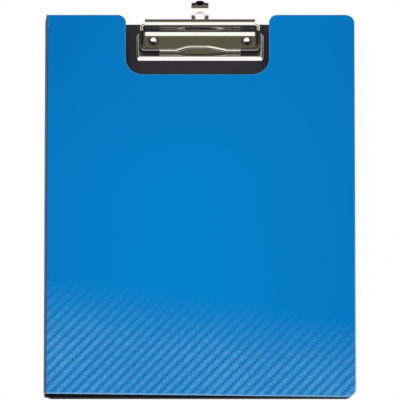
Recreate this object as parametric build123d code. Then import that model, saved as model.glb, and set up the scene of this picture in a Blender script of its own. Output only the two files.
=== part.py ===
from build123d import *
from math import asin, cos, radians, sin, sqrt, tan
import os

# Clipboard folder for A4 sheets, closed and lying on its back, in millimetres.
# X runs along the width with the spine on the left, +Y runs towards the clip
# and +Z out of the front cover.
# The origin is the centre of the back board's rear face.

# Back board
BOARD_WIDTH = 228.0
BOARD_HEIGHT = 317.0
BOARD_THICKNESS = 2.5
BOARD_CORNER_RADIUS = 6.0
BOARD_EDGE_ROUND = 0.5

# Front cover with its lining and its notch for the clip
CLOSED_THICKNESS = 14.0
COVER_THICKNESS = 1.0
COVER_OVERHANG_SIDE = 2.3
COVER_OVERHANG_TOP = 2.1
COVER_OVERHANG_BOTTOM = 1.9
COVER_CORNER_RADIUS = 7.0
COVER_EDGE_ROUND = 0.3
LINING_THICKNESS = 0.5
LINING_INSET = 0.4
NOTCH_WIDTH = 107.7
NOTCH_DEPTH = 50.9
NOTCH_OFFSET = -1.9
NOTCH_FLOOR_RADIUS = 13.3
NOTCH_MOUTH_RADIUS = 6.5

# Film pocket on the inside of the cover
POCKET_FILM = 0.3
POCKET_RIM_HEIGHT = 0.3
POCKET_RIM_WIDTH = 4.0
POCKET_MARGIN = 6.0
POCKET_HEIGHT_AT_SPINE = 150.0
POCKET_HEIGHT_AT_EDGE = 105.0
POCKET_CORNER_RADIUS = 5.0

# Spine strip and its two folds; its ends slant in, and so do the board's corners beside it
SPINE_THICKNESS = 1.0
SPINE_BULGE = 0.9
SPINE_END_SLANT = 4.6
BOARD_SLANT_ALONG_WIDTH = 5.0
BOARD_SLANT_ALONG_HEIGHT = 2.8
FOLD_CLEARANCE = 0.05

# Stamped clip plate: raised flat face, front lip, side flanges and rear ridge
SHEET = 0.9
PLATE_WIDTH = 96.2
PLATE_RISE = 2.2
PLATE_REACH = 28.9
FLANGE_SETBACK = 5.8
LIP_RADIUS = 5.7
FLANGE_RADIUS = 3.2
LIP_TURN = 40.0
PLATE_FRONT_CORNER = 3.6
PLATE_REAR_CORNER = 2.5
RIDGE_RADIUS = 4.5
RIDGE_END_SETBACK = 6.5
RIDGE_INSET = 3.0
RIDGE_FILLET = 4.8
CHEEK_THICKNESS = 1.2
CHEEK_RECESS = 0.2

# Rivets and their washers
RIVET_SPACING = 70.4
RIVET_SETBACK = 12.6
RIVET_HEAD_RADIUS = 3.4
RIVET_HEAD_HEIGHT = 1.9
RIVET_SHANK_RADIUS = 1.6
RIVET_HOLE_CLEARANCE = 0.05
RIVET_TAIL_RADIUS = 2.7
RIVET_TAIL_HEIGHT = 0.5
DIMPLE_RADIUS = 4.8
DIMPLE_TAPER = 1.0
WASHER_RADIUS = 4.2
WASHER_THICKNESS = 0.5
WASHER_POCKET_CLEARANCE = 0.1
TAIL_SINK = 0.2

# Wire bail and its corner guards
WIRE_RADIUS = 1.25
BAIL_REACH = 21.2
BAIL_ARM_GAP = 6.0
BAIL_SHOULDER_RADIUS = 2.2
BAIL_CORNER_RADIUS = 3.0
BAIL_LIFT = 5.3
BAIL_LIFT_TOP = 15.0
BAIL_LIFT_FOOT = 36.0
BAIL_LIFT_RADIUS = 6.0
PIVOT_CLEARANCE = 0.05
GUARD_WIDTH = 4.0
GUARD_ROUND = 1.4
GUARD_GAP = 0.05
GUARD_RIDGE_CLEARANCE = 0.3
GUARD_LEG_SETBACK = 5.6
GUARD_FOOT_LENGTH = 15.4
GUARD_BORE_CLEARANCE = 0.02

# Hanger strip that slides through a slot in the ridge
HANGER_WIDTH = 13.0
HANGER_THICKNESS = 0.8
HANGER_GAP = 0.1
HANGER_HOLE_RADIUS = 3.5
HANGER_HOLE_REACH = 8.9
HANGER_STOP_WIDTH = 20.0
HANGER_STOP_LENGTH = 4.0
HANGER_STOP_CLEARANCE = 0.3
HANGER_HOLE_MARGIN = 0.2
HANGER_SLOPE = 8.0
HANGER_BEND_REACH = 15.5
HANGER_TIP_ANGLE = 50.0
HANGER_BEND_RADIUS = 1.6
HANGER_SHOULDER_LENGTH = 5.1
HANGER_TAB_LENGTH = 6.5
HANGER_TAB_WIDTH = 7.4
HANGER_TAB_RADIUS = 2.6
HANGER_SHOULDER_RADIUS = 1.2
SLOT_SIDE_CLEARANCE = 0.3
SLOT_HEIGHT = 1.9

# Places that follow from the sizes above
BOARD_TOP = BOARD_HEIGHT / 2
BOARD_BOTTOM = -BOARD_HEIGHT / 2
BOARD_RIGHT = BOARD_WIDTH / 2
BOARD_LEFT = -BOARD_WIDTH / 2
BOARD_BEAD_RADIUS = BOARD_THICKNESS / 2
HINGE_X = BOARD_LEFT - FOLD_CLEARANCE - BOARD_BEAD_RADIUS
FOLD_OUTER_X = HINGE_X - BOARD_BEAD_RADIUS
BOARD_HINGE_Z = BOARD_THICKNESS / 2
COVER_STACK = COVER_THICKNESS + LINING_THICKNESS
COVER_BEAD_RADIUS = COVER_STACK / 2
COVER_HINGE_Z = CLOSED_THICKNESS - COVER_STACK / 2
COVER_LEFT = HINGE_X + COVER_BEAD_RADIUS + FOLD_CLEARANCE
COVER_RIGHT = BOARD_RIGHT + COVER_OVERHANG_SIDE
COVER_TOP = BOARD_TOP + COVER_OVERHANG_TOP
COVER_BOTTOM = BOARD_BOTTOM - COVER_OVERHANG_BOTTOM
COVER_UNDERSIDE = CLOSED_THICKNESS - COVER_THICKNESS
LINING_UNDERSIDE = COVER_UNDERSIDE - LINING_THICKNESS
RIDGE_Y = BOARD_TOP - RIDGE_INSET
RIDGE_WIDTH = PLATE_WIDTH - 2 * RIDGE_END_SETBACK
BAIL_Z = BOARD_THICKNESS + RIDGE_RADIUS
PLATE_TOP = BOARD_THICKNESS + PLATE_RISE
PLATE_FRONT = RIDGE_Y - PLATE_REACH
PLATE_BACK = RIDGE_Y - FLANGE_SETBACK
RIVET_Y = RIDGE_Y - RIVET_SETBACK
RIVET_PLACES = [(-RIVET_SPACING / 2, RIVET_Y), (RIVET_SPACING / 2, RIVET_Y)]
DIMPLE_FLOOR = BOARD_THICKNESS + SHEET
GUARD_HEIGHT = 2 * (BAIL_Z - PLATE_TOP - GUARD_GAP)
BAIL_HALF = RIDGE_WIDTH / 2 + GUARD_RIDGE_CLEARANCE + GUARD_WIDTH / 2
BAIL_FRONT = RIDGE_Y - BAIL_REACH
RIDGE_BACK = RIDGE_Y + RIDGE_RADIUS
TAIL_FLOOR = TAIL_SINK
WASHER_FLOOR = TAIL_FLOOR + RIVET_TAIL_HEIGHT
WASHER_TOP = WASHER_FLOOR + WASHER_THICKNESS
HANGER_FLOOR = BOARD_THICKNESS + HANGER_GAP
HANGER_HOLE_Y = RIDGE_Y + HANGER_HOLE_REACH
HANGER_STOP_Y = RIDGE_BACK - SHEET - HANGER_STOP_CLEARANCE
HANGER_BEND_Y = RIDGE_Y + HANGER_BEND_REACH

# Working allowances: past a face that is cut, past the whole part, and between equal points
CUT_MARGIN = 1.0
FAR = 400.0
SAME_POINT = 0.01


def prism(sketch, low, high):
    """A flat sketch in XY, raised between two heights."""
    return Pos(0, 0, low) * extrude(sketch, high - low)


def along_x(face, half):
    """A face drawn in the YZ plane, drawn out to both sides of the middle."""
    return extrude(face, half, both=True)


def rectangle(left, right, bottom, top):
    return Pos((left + right) / 2, (bottom + top) / 2) * Rectangle(right - left, top - bottom)


def corners_near(sketch, places):
    """The sketch's corners that lie on any of the given places."""
    found = []
    for corner in sketch.vertices():
        if any(abs(corner.X - x) < SAME_POINT and abs(corner.Y - y) < SAME_POINT for x, y in places):
            found.append(corner)
    return found


def slanted_corners():
    """What is cut off the board and its fold at both ends of the spine."""
    wedges = []
    for end, outward in ((BOARD_TOP, 1), (BOARD_BOTTOM, -1)):
        inner_x = FOLD_OUTER_X + BOARD_SLANT_ALONG_WIDTH
        inner_y = end - outward * BOARD_SLANT_ALONG_HEIGHT
        past_end = end + outward * 2 * BOARD_SLANT_ALONG_HEIGHT
        past_side = FOLD_OUTER_X - CUT_MARGIN
        corner = Polyline((FOLD_OUTER_X, inner_y), (inner_x, end), (inner_x, past_end),
                          (past_side, past_end), (past_side, inner_y), close=True)
        wedges.append(make_face(corner))
    return wedges


def back_board():
    outline = rectangle(BOARD_LEFT, BOARD_RIGHT, BOARD_BOTTOM, BOARD_TOP)
    free_corners = [(BOARD_RIGHT, BOARD_TOP), (BOARD_RIGHT, BOARD_BOTTOM)]
    outline = fillet(corners_near(outline, free_corners), BOARD_CORNER_RADIUS)
    for wedge in slanted_corners():
        outline -= wedge
    board = prism(outline, 0, BOARD_THICKNESS)
    rims = board.faces().sort_by(Axis.Z)[-1].edges() + board.faces().sort_by(Axis.Z)[0].edges()
    board = fillet(rims, BOARD_EDGE_ROUND)
    for x, y in RIVET_PLACES:
        shank = Circle(RIVET_SHANK_RADIUS + RIVET_HOLE_CLEARANCE)
        recess = Circle(WASHER_RADIUS + WASHER_POCKET_CLEARANCE)
        board -= Pos(x, y) * prism(shank, 0, BOARD_THICKNESS)
        board -= Pos(x, y) * prism(recess, 0, WASHER_TOP)
    return board


def cover_outline(inset):
    """The cover's outline with its notch, drawn in by an inset on every free edge."""
    right = COVER_RIGHT - inset
    top = COVER_TOP - inset
    bottom = COVER_BOTTOM + inset
    notch_left = NOTCH_OFFSET - NOTCH_WIDTH / 2 - inset
    notch_right = NOTCH_OFFSET + NOTCH_WIDTH / 2 + inset
    notch_floor = COVER_TOP - NOTCH_DEPTH - inset
    outline = rectangle(COVER_LEFT, right, bottom, top)
    outline = fillet(corners_near(outline, [(right, top), (right, bottom)]),
                     COVER_CORNER_RADIUS - inset)
    outline -= rectangle(notch_left, notch_right, notch_floor, top + NOTCH_DEPTH)
    floor_corners = [(notch_left, notch_floor), (notch_right, notch_floor)]
    outline = fillet(corners_near(outline, floor_corners), NOTCH_FLOOR_RADIUS + inset)
    mouth_corners = [(notch_left, top), (notch_right, top)]
    return fillet(corners_near(outline, mouth_corners), NOTCH_MOUTH_RADIUS - inset)


def front_cover():
    sheet = prism(cover_outline(0), COVER_UNDERSIDE, CLOSED_THICKNESS)
    return fillet(sheet.faces().sort_by(Axis.Z)[-1].edges(), COVER_EDGE_ROUND)


def cover_lining():
    return prism(cover_outline(LINING_INSET), LINING_UNDERSIDE, COVER_UNDERSIDE)


def inner_pocket():
    """A film on three narrow rims: its mouth slants down from the spine to the free edge."""
    film_top = LINING_UNDERSIDE - POCKET_RIM_HEIGHT
    left = COVER_LEFT + POCKET_MARGIN
    right = COVER_RIGHT - POCKET_MARGIN
    bottom = COVER_BOTTOM + POCKET_MARGIN
    high = COVER_BOTTOM + POCKET_HEIGHT_AT_SPINE
    low = COVER_BOTTOM + POCKET_HEIGHT_AT_EDGE
    outline = make_face(Polyline((left, bottom), (right, bottom), (right, low), (left, high), close=True))
    outline = fillet(corners_near(outline, [(left, bottom), (right, bottom)]), POCKET_CORNER_RADIUS)
    film = prism(outline, film_top - POCKET_FILM, film_top)
    rim = prism(outline, film_top, LINING_UNDERSIDE)
    inner = rectangle(left + POCKET_RIM_WIDTH, right - POCKET_RIM_WIDTH, bottom + POCKET_RIM_WIDTH, COVER_TOP)
    return film + (rim - prism(inner, film_top, LINING_UNDERSIDE))


def spine_strip():
    """A bowed band between two round fold beads, drawn along the folds."""
    middle_z = (BOARD_HINGE_Z + COVER_HINGE_Z) / 2
    half = SPINE_THICKNESS / 2
    length = COVER_TOP - COVER_BOTTOM

    def arc(offset):
        x = HINGE_X + offset
        return ThreePointArc((x, COVER_BOTTOM, BOARD_HINGE_Z), (x - SPINE_BULGE, COVER_BOTTOM, middle_z),
                             (x, COVER_BOTTOM, COVER_HINGE_Z))

    outer = arc(-half)
    inner = arc(half)
    band = make_face([outer, inner, Line(outer @ 0, inner @ 0), Line(outer @ 1, inner @ 1)])
    strip = extrude(band, length, (0, 1, 0))
    for z, radius in ((BOARD_HINGE_Z, BOARD_BEAD_RADIUS), (COVER_HINGE_Z, COVER_BEAD_RADIUS)):
        bead = Plane.XZ.offset(-COVER_BOTTOM) * Pos(HINGE_X, z) * Circle(radius)
        strip += extrude(bead, length, (0, 1, 0))

    # The ends slant in at the cover's fold, then run in to the board's slanted corners
    outermost = HINGE_X - SPINE_BULGE - half
    for end, board_end, outward in ((COVER_TOP, BOARD_TOP, 1), (COVER_BOTTOM, BOARD_BOTTOM, -1)):
        corner = Polyline((outermost, end), (HINGE_X, end),
                          (outermost, end - outward * SPINE_END_SLANT), close=True)
        strip -= prism(make_face(corner), -CUT_MARGIN, CLOSED_THICKNESS + CUT_MARGIN)
        past_end = end + outward * CUT_MARGIN
        run_in = Polyline((0, end, COVER_HINGE_Z), (0, board_end, BOARD_THICKNESS),
                          (0, board_end, -CUT_MARGIN), (0, past_end, -CUT_MARGIN),
                          (0, past_end, COVER_HINGE_Z), close=True)
        strip -= along_x(make_face(run_in), BOARD_WIDTH)
    for wedge in slanted_corners():
        strip -= prism(wedge, -CUT_MARGIN, BOARD_THICKNESS)
    return strip


def lip_section(reach, radius, inset):
    """Half of a drawn edge: flat top, a wide arc and a tight curl down to the board.

    It is drawn from the middle outwards, with the outer foot at the given reach.
    An inset draws it in by the sheet's thickness.
    """
    turn = radians(LIP_TURN)
    curl = (PLATE_RISE - radius * (1 - cos(turn))) / cos(turn)
    flat_end = reach - radius * sin(turn) - curl * (1 - sin(turn))
    wide = radius - inset
    tight = curl - inset
    knee = (flat_end + wide * sin(turn), PLATE_TOP - radius + wide * cos(turn))
    curl_centre = (knee[0] - tight * sin(turn), knee[1] - tight * cos(turn))
    foot = (curl_centre[0] + tight, curl_centre[1])
    wide_arc = (flat_end + wide * sin(turn / 2), PLATE_TOP - radius + wide * cos(turn / 2))
    middle = (radians(90) + turn) / 2
    tight_arc = (curl_centre[0] + tight * sin(middle), curl_centre[1] + tight * cos(middle))
    top = PLATE_TOP - inset
    return flat_end, top, wide_arc, knee, tight_arc, foot


def plate_pan(inset):
    """The raised face with its front lip and side flanges, as one closed block."""
    base = BOARD_THICKNESS - SHEET - inset
    flat, top, arc_1, knee, arc_2, foot = lip_section(PLATE_REACH, LIP_RADIUS, inset)
    back = PLATE_BACK - inset
    front_edge = [
        Line((0, back, base), (0, back, top)),
        Line((0, back, top), (0, RIDGE_Y - flat, top)),
        ThreePointArc((0, RIDGE_Y - flat, top), (0, RIDGE_Y - arc_1[0], arc_1[1]),
                      (0, RIDGE_Y - knee[0], knee[1])),
        ThreePointArc((0, RIDGE_Y - knee[0], knee[1]), (0, RIDGE_Y - arc_2[0], arc_2[1]),
                      (0, RIDGE_Y - foot[0], foot[1])),
        Line((0, RIDGE_Y - foot[0], foot[1]), (0, RIDGE_Y - foot[0], base)),
        Line((0, RIDGE_Y - foot[0], base), (0, back, base)),
    ]
    front = along_x(make_face(front_edge), PLATE_WIDTH)
    flat, top, arc_1, knee, arc_2, foot = lip_section(PLATE_WIDTH / 2, FLANGE_RADIUS, inset)
    side_edge = [Line((-flat, 0, top), (flat, 0, top))]
    for side in (-1, 1):
        side_edge += [
            ThreePointArc((side * flat, 0, top), (side * arc_1[0], 0, arc_1[1]),
                          (side * knee[0], 0, knee[1])),
            ThreePointArc((side * knee[0], 0, knee[1]), (side * arc_2[0], 0, arc_2[1]),
                          (side * foot[0], 0, foot[1])),
            Line((side * foot[0], 0, foot[1]), (side * foot[0], 0, base)),
        ]
    side_edge.append(Line((-foot[0], 0, base), (foot[0], 0, base)))
    sides = extrude(make_face(side_edge), FAR, (0, 1, 0), both=True)
    half = PLATE_WIDTH / 2 - inset
    outline = rectangle(-half, half, PLATE_FRONT + inset, back)
    front_corners = [(-half, PLATE_FRONT + inset), (half, PLATE_FRONT + inset)]
    outline = fillet(corners_near(outline, front_corners), PLATE_FRONT_CORNER - inset)
    back_corners = [(-half, back), (half, back)]
    outline = fillet(corners_near(outline, back_corners), PLATE_REAR_CORNER - inset)
    return front & sides & prism(outline, base - CUT_MARGIN, top + CUT_MARGIN)


def ridge_block(inset, half_width):
    """The rolled ridge with its fillet down to the raised face, as one closed block."""
    base = BOARD_THICKNESS - SHEET - inset
    radius = RIDGE_RADIUS - inset
    fillet_radius = RIDGE_FILLET + inset
    centre_z = PLATE_TOP + RIDGE_FILLET
    rise = centre_z - BAIL_Z
    reach = sqrt((RIDGE_RADIUS + RIDGE_FILLET) ** 2 - rise ** 2)
    slope = asin(rise / (RIDGE_RADIUS + RIDGE_FILLET))
    start = (0, RIDGE_Y - reach, PLATE_TOP - inset)
    join = (0, RIDGE_Y - radius * cos(slope), BAIL_Z + radius * sin(slope))
    middle = (slope + radians(90)) / 2
    bend = (0, RIDGE_Y - reach + fillet_radius * cos(middle), centre_z - fillet_radius * sin(middle))
    rear = (0, RIDGE_Y + radius, BAIL_Z)
    low_rear = (0, RIDGE_Y + radius, base)
    low_front = (0, RIDGE_Y - reach, base)
    edge = [
        ThreePointArc(start, bend, join),
        ThreePointArc(join, (0, RIDGE_Y, BAIL_Z + radius), rear),
        Line(rear, low_rear),
        Line(low_rear, low_front),
        Line(low_front, start),
    ]
    return along_x(make_face(edge), half_width)


def clip_base_plate():
    half = RIDGE_WIDTH / 2
    outer = plate_pan(0) + ridge_block(0, half)
    hollow = plate_pan(SHEET) + ridge_block(SHEET, half + CUT_MARGIN)
    room = rectangle(-FAR, FAR, -FAR, FAR)
    plate = outer - hollow - prism(room, -FAR, BOARD_THICKNESS)

    # Folded cheeks close the ridge's ends and carry the wire
    cheek_span = ridge_block(SHEET, half - CHEEK_RECESS)
    cheek_span -= ridge_block(SHEET, half - CHEEK_RECESS - CHEEK_THICKNESS)
    cheek_span -= prism(room, -FAR, BOARD_THICKNESS)
    front_of_cheek = RIDGE_Y - RIDGE_RADIUS
    cheek_span &= prism(rectangle(-FAR, FAR, front_of_cheek, RIDGE_BACK), 0, FAR)
    plate += cheek_span
    bore = Circle(WIRE_RADIUS + PIVOT_CLEARANCE)
    plate -= extrude(Plane.YZ * Pos(RIDGE_Y, BAIL_Z) * bore, half, both=True)

    # Dimples press the sheet down on the board, under each rivet's head
    foot_radius = DIMPLE_RADIUS - DIMPLE_TAPER
    for x, y in RIVET_PLACES:
        outer_cup = Cone(foot_radius + SHEET, DIMPLE_RADIUS + SHEET, PLATE_RISE - SHEET,
                         align=(Align.CENTER, Align.CENTER, Align.MIN))
        inner_cup = Cone(foot_radius, DIMPLE_RADIUS, PLATE_TOP - DIMPLE_FLOOR,
                         align=(Align.CENTER, Align.CENTER, Align.MIN))
        mouth = Circle(DIMPLE_RADIUS)
        shank = Circle(RIVET_SHANK_RADIUS + RIVET_HOLE_CLEARANCE)
        plate += Pos(x, y, BOARD_THICKNESS) * outer_cup
        plate -= Pos(x, y, DIMPLE_FLOOR) * inner_cup
        plate -= Pos(x, y) * prism(mouth, PLATE_TOP, BAIL_Z)
        plate -= Pos(x, y) * prism(shank, BOARD_THICKNESS, PLATE_TOP)

    # The hanger's slot in the ridge's rear wall
    slot_half = HANGER_WIDTH / 2 + SLOT_SIDE_CLEARANCE
    slot = rectangle(-slot_half, slot_half, RIDGE_Y, RIDGE_BACK + CUT_MARGIN)
    return plate - prism(slot, BOARD_THICKNESS, BOARD_THICKNESS + SLOT_HEIGHT)


def rivets():
    """Two rivets: domed head on the dimple, shank, and a closed end on the washer."""
    cap_radius = (RIVET_HEAD_RADIUS ** 2 + RIVET_HEAD_HEIGHT ** 2) / (2 * RIVET_HEAD_HEIGHT)
    group = []
    for x, y in RIVET_PLACES:
        head = Pos(0, 0, DIMPLE_FLOOR + RIVET_HEAD_HEIGHT - cap_radius) * Sphere(cap_radius)
        head &= prism(Circle(RIVET_HEAD_RADIUS + CUT_MARGIN), DIMPLE_FLOOR, PLATE_TOP + cap_radius)
        shank = prism(Circle(RIVET_SHANK_RADIUS), TAIL_FLOOR, DIMPLE_FLOOR)
        tail = prism(Circle(RIVET_TAIL_RADIUS), TAIL_FLOOR, WASHER_FLOOR)
        group.append(Pos(x, y) * (head + shank + tail))
    return Compound(children=group)


def rivet_washers():
    ring = Circle(WASHER_RADIUS) - Circle(RIVET_SHANK_RADIUS + RIVET_HOLE_CLEARANCE)
    washer = prism(ring, WASHER_FLOOR, WASHER_TOP)
    return Compound(children=[Pos(x, y) * washer for x, y in RIVET_PLACES])


def bail_route():
    """The wire's middle line, from one inturned arm round to the other."""
    arm = BAIL_ARM_GAP / 2
    foot = BAIL_LIFT_FOOT / 2
    top = BAIL_LIFT_TOP / 2
    high = BAIL_Z + BAIL_LIFT
    points = [
        (-arm, RIDGE_Y, BAIL_Z),
        (-BAIL_HALF, RIDGE_Y, BAIL_Z),
        (-BAIL_HALF, BAIL_FRONT, BAIL_Z),
        (-foot, BAIL_FRONT, BAIL_Z),
        (-top, BAIL_FRONT, high),
        (top, BAIL_FRONT, high),
        (foot, BAIL_FRONT, BAIL_Z),
        (BAIL_HALF, BAIL_FRONT, BAIL_Z),
        (BAIL_HALF, RIDGE_Y, BAIL_Z),
        (arm, RIDGE_Y, BAIL_Z),
    ]
    half_radii = [BAIL_SHOULDER_RADIUS, BAIL_CORNER_RADIUS, BAIL_LIFT_RADIUS, BAIL_LIFT_RADIUS]
    return FilletPolyline(*points, radius=half_radii + half_radii[::-1])


def wire_bail():
    route = bail_route()
    start = Plane(route @ 0, z_dir=route % 0)
    return sweep(start * Circle(WIRE_RADIUS), path=route)


def corner_guard(side):
    """An L-shaped moulding over one front corner of the wire."""
    leg_end = RIDGE_Y - GUARD_LEG_SETBACK
    foot_end = BAIL_HALF + GUARD_WIDTH / 2 - GUARD_FOOT_LENGTH
    route = FilletPolyline((side * BAIL_HALF, leg_end, BAIL_Z), (side * BAIL_HALF, BAIL_FRONT, BAIL_Z),
                           (side * foot_end, BAIL_FRONT, BAIL_Z), radius=BAIL_CORNER_RADIUS)
    start = Plane(route @ 0, x_dir=(1, 0, 0), z_dir=route % 0)
    section = fillet(Rectangle(GUARD_WIDTH, GUARD_HEIGHT).vertices(), GUARD_ROUND)
    body = sweep(start * section, path=route)
    wire = sweep(start * Circle(WIRE_RADIUS + GUARD_BORE_CLEARANCE), path=route)
    return body - wire


def hanger():
    """Flat strip with a stop inside the ridge, a round hole and a turned-up tip."""
    half_sheet = HANGER_THICKNESS / 2
    z = HANGER_FLOOR + half_sheet
    slope_y = HANGER_HOLE_Y + HANGER_HOLE_RADIUS + HANGER_HOLE_MARGIN
    bend_z = z + (HANGER_BEND_Y - slope_y) * tan(radians(HANGER_SLOPE))
    tip_y = HANGER_BEND_Y + HANGER_TAB_LENGTH * cos(radians(HANGER_TIP_ANGLE))
    tip_z = bend_z + HANGER_TAB_LENGTH * sin(radians(HANGER_TIP_ANGLE))
    stop_back = HANGER_STOP_Y - HANGER_STOP_LENGTH
    route = FilletPolyline((0, stop_back, z), (0, slope_y, z), (0, HANGER_BEND_Y, bend_z),
                           (0, tip_y, tip_z), radius=[HANGER_BEND_RADIUS, HANGER_BEND_RADIUS])
    start = Plane(route @ 0, x_dir=(1, 0, 0), z_dir=route % 0)
    band = sweep(start * Rectangle(HANGER_STOP_WIDTH, HANGER_THICKNESS), path=route)

    shoulder_y = HANGER_BEND_Y + HANGER_SHOULDER_LENGTH * cos(radians(HANGER_TIP_ANGLE))
    half = HANGER_WIDTH / 2
    strip = rectangle(-half, half, stop_back, shoulder_y)
    strip = fillet(corners_near(strip, [(-half, shoulder_y), (half, shoulder_y)]),
                   HANGER_SHOULDER_RADIUS)
    tab_half = HANGER_TAB_WIDTH / 2
    tab_end = tip_y + CUT_MARGIN
    tab = rectangle(-tab_half, tab_half, HANGER_BEND_Y, tab_end)
    tab = fillet(corners_near(tab, [(-tab_half, tab_end), (tab_half, tab_end)]), HANGER_TAB_RADIUS)
    stop = rectangle(-HANGER_STOP_WIDTH / 2, HANGER_STOP_WIDTH / 2, stop_back, HANGER_STOP_Y)
    outline = strip + tab + stop - Pos(0, HANGER_HOLE_Y) * Circle(HANGER_HOLE_RADIUS)
    return band & prism(outline, 0, CLOSED_THICKNESS)


PARTS = {
    "back_board": back_board(),
    "front_cover": front_cover(),
    "cover_lining": cover_lining(),
    "inner_pocket": inner_pocket(),
    "spine_strip": spine_strip(),
    "clip_base_plate": clip_base_plate(),
    "rivets": rivets(),
    "rivet_washers": rivet_washers(),
    "wire_bail": wire_bail(),
    "corner_guard_left": corner_guard(-1),
    "corner_guard_right": corner_guard(1),
    "hanger": hanger(),
}

os.makedirs("parts", exist_ok=True)
for name, part in PARTS.items():
    export_step(part, f"parts/{name}.step")
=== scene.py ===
import math

import bmesh
import bpy
from mathutils import Matrix, Vector


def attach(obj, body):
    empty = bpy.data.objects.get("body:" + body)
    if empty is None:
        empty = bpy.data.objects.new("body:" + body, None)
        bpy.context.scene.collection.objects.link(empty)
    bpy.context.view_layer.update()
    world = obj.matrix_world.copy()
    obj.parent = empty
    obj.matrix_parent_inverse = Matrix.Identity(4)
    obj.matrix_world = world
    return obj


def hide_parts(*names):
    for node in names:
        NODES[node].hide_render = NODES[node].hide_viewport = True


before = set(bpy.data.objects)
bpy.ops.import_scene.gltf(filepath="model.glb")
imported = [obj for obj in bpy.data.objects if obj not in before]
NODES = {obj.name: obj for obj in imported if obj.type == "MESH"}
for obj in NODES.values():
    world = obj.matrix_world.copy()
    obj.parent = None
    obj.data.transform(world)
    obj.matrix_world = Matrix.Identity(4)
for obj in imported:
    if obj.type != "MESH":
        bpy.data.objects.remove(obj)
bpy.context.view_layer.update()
MM = 0.001

# The photograph's view: 28 degrees off the cover's normal, from the lower edge, almost parallel
VIEW_ELEVATION = math.radians(62.0)
VIEW_LENS = 1600.0
SENSOR = 36.0
FRAME_WIDTH = 300.0 * MM
AIM = Vector((0.0, 9.9 * MM, 0.0))


def place_camera():
    data = bpy.data.cameras.new("camera")
    data.lens = VIEW_LENS
    data.sensor_width = SENSOR
    distance = FRAME_WIDTH * VIEW_LENS / SENSOR
    data.clip_end = 10 * distance
    camera = bpy.data.objects.new("camera", data)
    bpy.context.scene.collection.objects.link(camera)
    away = Vector((0.0, -math.cos(VIEW_ELEVATION), math.sin(VIEW_ELEVATION)))
    camera.location = AIM + distance * away
    camera.rotation_euler = (math.pi / 2 - VIEW_ELEVATION, 0.0, 0.0)
    bpy.context.scene.camera = camera


place_camera()


# Node building

class Nodes:
    """A short way to write a node tree."""

    def __init__(self, tree, empty=True):
        self.tree = tree
        if empty:
            self.tree.nodes.clear()

    def add(self, kind, inputs=None, **settings):
        node = self.tree.nodes.new(kind)
        for name, value in settings.items():
            setattr(node, name, value)
        for key, value in (inputs or {}).items():
            self.feed(node.inputs[key], value)
        return node

    def feed(self, socket, value):
        """Links an input to a socket or a node's first output, or sets it to a value."""
        if isinstance(value, bpy.types.NodeSocket):
            self.tree.links.new(value, socket)
        elif isinstance(value, bpy.types.Node):
            self.tree.links.new(value.outputs[0], socket)
        else:
            socket.default_value = value

    def math(self, operation, a, b=0.0, c=0.0, clamp=False):
        node = self.add("ShaderNodeMath", operation=operation, use_clamp=clamp)
        for socket, value in zip(node.inputs, (a, b, c)):
            self.feed(socket, value)
        return node.outputs[0]

    def times(self, a, b, clamp=False):
        return self.math("MULTIPLY", a, b, clamp=clamp)

    def minus(self, a, b):
        return self.math("SUBTRACT", a, b)

    def mix(self, factor, a, b):
        node = self.add("ShaderNodeMix", data_type="RGBA")
        self.feed(node.inputs["Factor"], factor)
        self.feed(node.inputs[6], a)
        self.feed(node.inputs[7], b)
        return node.outputs[2]

    def ramp(self, value, low, high, to_low=0.0, to_high=1.0, smooth=True):
        node = self.add("ShaderNodeMapRange", clamp=True)
        node.interpolation_type = "SMOOTHSTEP" if smooth else "LINEAR"
        for socket, number in zip(node.inputs, (value, low, high, to_low, to_high)):
            self.feed(socket, number)
        return node.outputs[0]

    def split(self, vector):
        parts = self.add("ShaderNodeSeparateXYZ", {0: vector})
        return parts.outputs[0], parts.outputs[1], parts.outputs[2]

    def squares(self, a, b):
        return self.math("ADD", self.times(a, a), self.times(b, b))


def srgb(red, green, blue):
    """A colour given as it looks on screen, from 0 to 255, as a shader colour."""
    def linear(value):
        value /= 255.0
        return value / 12.92 if value <= 0.04045 else ((value + 0.055) / 1.055) ** 2.4
    return (linear(red), linear(green), linear(blue), 1.0)


def new_material(name):
    material = bpy.data.materials.new(name)
    material.use_nodes = True
    nodes = Nodes(material.node_tree)
    output = nodes.add("ShaderNodeOutputMaterial")
    shader = nodes.add("ShaderNodeBsdfPrincipled")
    nodes.tree.links.new(shader.outputs[0], output.inputs[0])
    return material, nodes, shader


def reopened(material):
    """A finished material's nodes and shader, to add to it."""
    nodes = Nodes(material.node_tree, empty=False)
    return nodes, nodes.tree.nodes["Principled BSDF"]


def object_place(nodes):
    """The point in the object's own frame, in metres."""
    return nodes.add("ShaderNodeTexCoord").outputs["Object"]


def facing_up(nodes):
    """How far the surface faces up in the object's own frame, from -1 to 1."""
    return nodes.split(nodes.add("ShaderNodeTexCoord").outputs["Normal"])[2]


def cut_edges(nodes):
    """1 on the walls of a cut sheet, from the faces' own direction."""
    normal = nodes.add("ShaderNodeNewGeometry").outputs["True Normal"]
    normal = nodes.add("ShaderNodeVectorTransform", {0: normal}, vector_type="NORMAL",
                       convert_from="WORLD", convert_to="OBJECT")
    return nodes.ramp(nodes.math("ABSOLUTE", nodes.split(normal)[2]), 0.5, 0.3)


def grain(nodes, place, scale, detail=3.0):
    return nodes.add("ShaderNodeTexNoise", {"Vector": place, "Scale": scale, "Detail": detail}).outputs[0]


def edge_mask(nodes, low=0.52, high=0.62):
    """Near 1 on worn convex edges, from the mesh's pointiness."""
    return nodes.ramp(nodes.add("ShaderNodeNewGeometry").outputs["Pointiness"], low, high)


def set_roughness(nodes, shader, cloud, low, high):
    """Roughness that drifts between two values with a cloudy grain."""
    nodes.feed(shader.inputs["Roughness"], nodes.ramp(cloud, 0.3, 0.7, low, high, False))


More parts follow.
